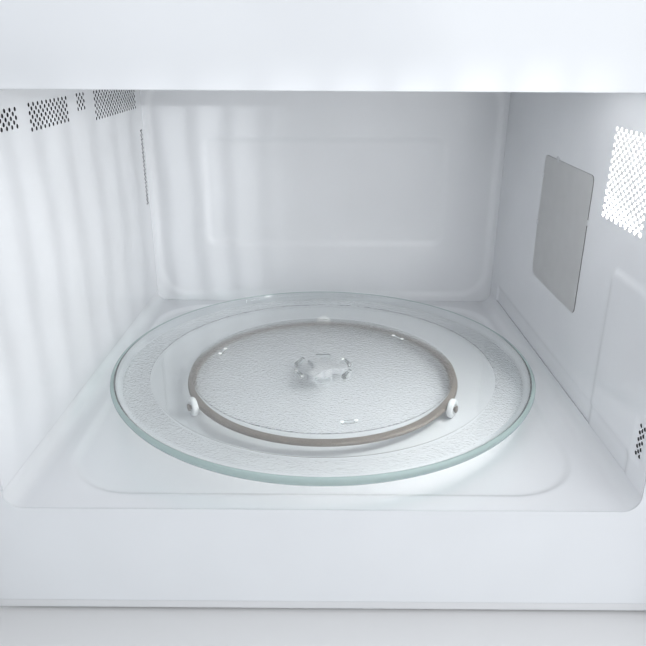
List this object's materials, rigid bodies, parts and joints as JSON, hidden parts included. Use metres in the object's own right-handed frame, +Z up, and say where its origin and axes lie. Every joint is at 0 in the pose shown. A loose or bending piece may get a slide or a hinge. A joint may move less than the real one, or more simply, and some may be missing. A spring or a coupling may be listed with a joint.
{
  "type": "built-in microwave",
  "caption": "Built-in microwave with a lit turntable cavity, side-hinged door, control side and niche trim.",
  "frame": {"origin": "on the niche floor, in the middle of the width, in the plane where the trim meets the cabinet", "axes": "+X to the right seen from the front, +Y into the cabinet, +Z up"},
  "size_m": [0.6784, 0.8385, 0.39],
  "materials": {
    "galvanised": "zinc coated sheet, faint spangle",
    "cavity_enamel": "glossy baked enamel",
    "trim_paint": "satin white coat",
    "screw_steel": "zinc plated steel",
    "rubber": "matt rubber",
    "mica": "pressed mica sheet",
    "tray_glass": "clear soda glass, stippled underside",
    "ring_plastic": "moulded heat resistant plastic",
    "white_plastic": "moulded white plastic",
    "panel_plastic": "glossy white moulding",
    "knob_metal": "turned and brushed",
    "display": "smoked lens",
    "door_glass": "tempered pane, printed white border",
    "choke_steel": "grey stove enamel",
    "film": "clear film",
    "grey_plastic": "fine grained moulding",
    "black_plastic": "moulded black plastic",
    "board_green": "glass fibre board",
    "core_iron": "stacked laminations, varnished",
    "copper": "enamelled copper windings",
    "motor_steel": "pressed motor can",
    "lamp_glass": "lamp glass",
    "spring_steel": "spring wire"
  },
  "bodies": {
    "housing": {"base_plate": "galvanised", "feet": "rubber", "outer_wrapper": "galvanised", "back_plate": "galvanised", "cable_gland": "rubber", "case_screws": "screw_steel", "front_plate": "cavity_enamel", "trim_frame": "trim_paint", "cavity_floor": "cavity_enamel", "cavity_left_wall": "cavity_enamel", "cavity_right_wall": "cavity_enamel", "cavity_back_wall": "cavity_enamel", "cavity_roof": "cavity_enamel", "waveguide_cover": "mica", "waveguide": "galvanised", "magnetron_body": "galvanised", "magnetron_antenna": "screw_steel", "transformer_core": "core_iron", "transformer_coils": "copper", "capacitor": "galvanised", "capacitor_clamp": "galvanised", "hv_diode": "black_plastic", "fan_shroud": "white_plastic", "fan_motor": "motor_steel", "turntable_motor": "motor_steel", "lamp_holder": "galvanised", "lamp_bulb": "lamp_glass", "thermal_cutouts": "screw_steel", "filter_board": "board_green", "latch_board": "white_plastic", "door_switches": "black_plastic", "hinge_brackets": "galvanised", "hinge_pins": "screw_steel", "control_fascia": "panel_plastic", "display_window": "display", "control_board": "board_green", "knob_encoder": "black_plastic"},
    "door": {"door_frame": "panel_plastic", "door_glass": "door_glass", "door_choke": "choke_steel", "door_screen": "choke_steel", "door_inner_film": "film", "choke_cover": "grey_plastic", "latch_spring": "spring_steel"},
    "latch": {"latch_hooks": "grey_plastic"},
    "coupler": {"drive_coupler": "white_plastic"},
    "tray": {"glass_tray": "tray_glass"},
    "ring": {"roller_ring": "ring_plastic"},
    "rear_wheel": {"roller_rear": "white_plastic"},
    "left_wheel": {"roller_left": "white_plastic"},
    "right_wheel": {"roller_right": "white_plastic"},
    "fan": {"fan_blade": "black_plastic"},
    "knob": {"selector_knob": "knob_metal"},
    "clock_key": {"clock_button": "panel_plastic"},
    "power_key": {"power_button": "panel_plastic"},
    "stop_key": {"stop_button": "panel_plastic"},
    "start_key": {"start_button": "panel_plastic"},
    "door_key": {"door_button": "panel_plastic"},
    "lever": {"release_lever": "grey_plastic"}
  },
  "joints": [
    {"name": "door_hinge", "type": "hinge", "parent": "housing", "child": "door", "pos_m": [-0.289, -0.0123, 0.196], "axis": [0, 0, 1], "range_deg": [0, 100]},
    {"name": "latch_lift", "type": "slide", "parent": "door", "child": "latch", "axis": [0, 0, 1], "range_m": [0, 0.004], "stiffness_N_per_m": 300, "springref_m": -0.004, "deforming": ["latch_spring"]},
    {"name": "turntable_spin", "type": "hinge", "parent": "housing", "child": "coupler", "pos_m": [-0.076, 0.1537, 0.075], "axis": [0, 0, 1], "continuous": true},
    {"name": "tray_lift", "type": "slide", "parent": "coupler", "child": "tray", "axis": [0, 0, 1], "range_m": [0, 0.12]},
    {"name": "ring_spin", "type": "hinge", "parent": "housing", "child": "ring", "pos_m": [-0.076, 0.1537, 0.075], "axis": [0, 0, 1], "continuous": true},
    {"name": "rear_roller_spin", "type": "hinge", "parent": "ring", "child": "rear_wheel", "pos_m": [-0.076, 0.259, 0.0801], "axis": [0, 1, 0], "continuous": true},
    {"name": "left_roller_spin", "type": "hinge", "parent": "ring", "child": "left_wheel", "pos_m": [-0.16719, 0.10105, 0.0801], "axis": [-0.866, -0.5, 0], "continuous": true},
    {"name": "right_roller_spin", "type": "hinge", "parent": "ring", "child": "right_wheel", "pos_m": [0.01519, 0.10105, 0.0801], "axis": [0.866, -0.5, 0], "continuous": true},
    {"name": "fan_spin", "type": "hinge", "parent": "housing", "child": "fan", "pos_m": [0.186, 0.352, 0.193], "axis": [0, 1, 0], "continuous": true},
    {"name": "knob_turn", "type": "hinge", "parent": "housing", "child": "knob", "pos_m": [0.2185, -0.0303, 0.15], "axis": [0, -1, 0], "continuous": true},
    {"name": "clock_push", "type": "slide", "parent": "housing", "child": "clock_key", "axis": [0, 1, 0], "range_m": [0, 0.0012], "stiffness_N_per_m": 600, "springref_m": -0.0004},
    {"name": "power_push", "type": "slide", "parent": "housing", "child": "power_key", "axis": [0, 1, 0], "range_m": [0, 0.0012], "stiffness_N_per_m": 600, "springref_m": -0.0004},
    {"name": "stop_push", "type": "slide", "parent": "housing", "child": "stop_key", "axis": [0, 1, 0], "range_m": [0, 0.0012], "stiffness_N_per_m": 600, "springref_m": -0.0004},
    {"name": "start_push", "type": "slide", "parent": "housing", "child": "start_key", "axis": [0, 1, 0], "range_m": [0, 0.0012], "stiffness_N_per_m": 600, "springref_m": -0.0004},
    {"name": "door_button_push", "type": "slide", "parent": "housing", "child": "door_key", "axis": [0, 1, 0], "range_m": [0, 0.005], "stiffness_N_per_m": 500, "springref_m": -0.002},
    {"name": "lever_swing", "type": "hinge", "parent": "housing", "child": "lever", "pos_m": [0.126, 0.006, 0.0765], "axis": [1, 0, 0], "range_deg": [0, 11.94]}
  ],
  "couplings": [
    {"joint": "ring_spin", "follows": "turntable_spin", "ratio": 0.5},
    {"joint": "rear_roller_spin", "follows": "turntable_spin", "ratio": -7.7426},
    {"joint": "left_roller_spin", "follows": "turntable_spin", "ratio": -7.7426},
    {"joint": "right_roller_spin", "follows": "turntable_spin", "ratio": -7.7426},
    {"joint": "lever_swing", "follows": "door_button_push", "rad_per_m": 41.68}
  ]
}
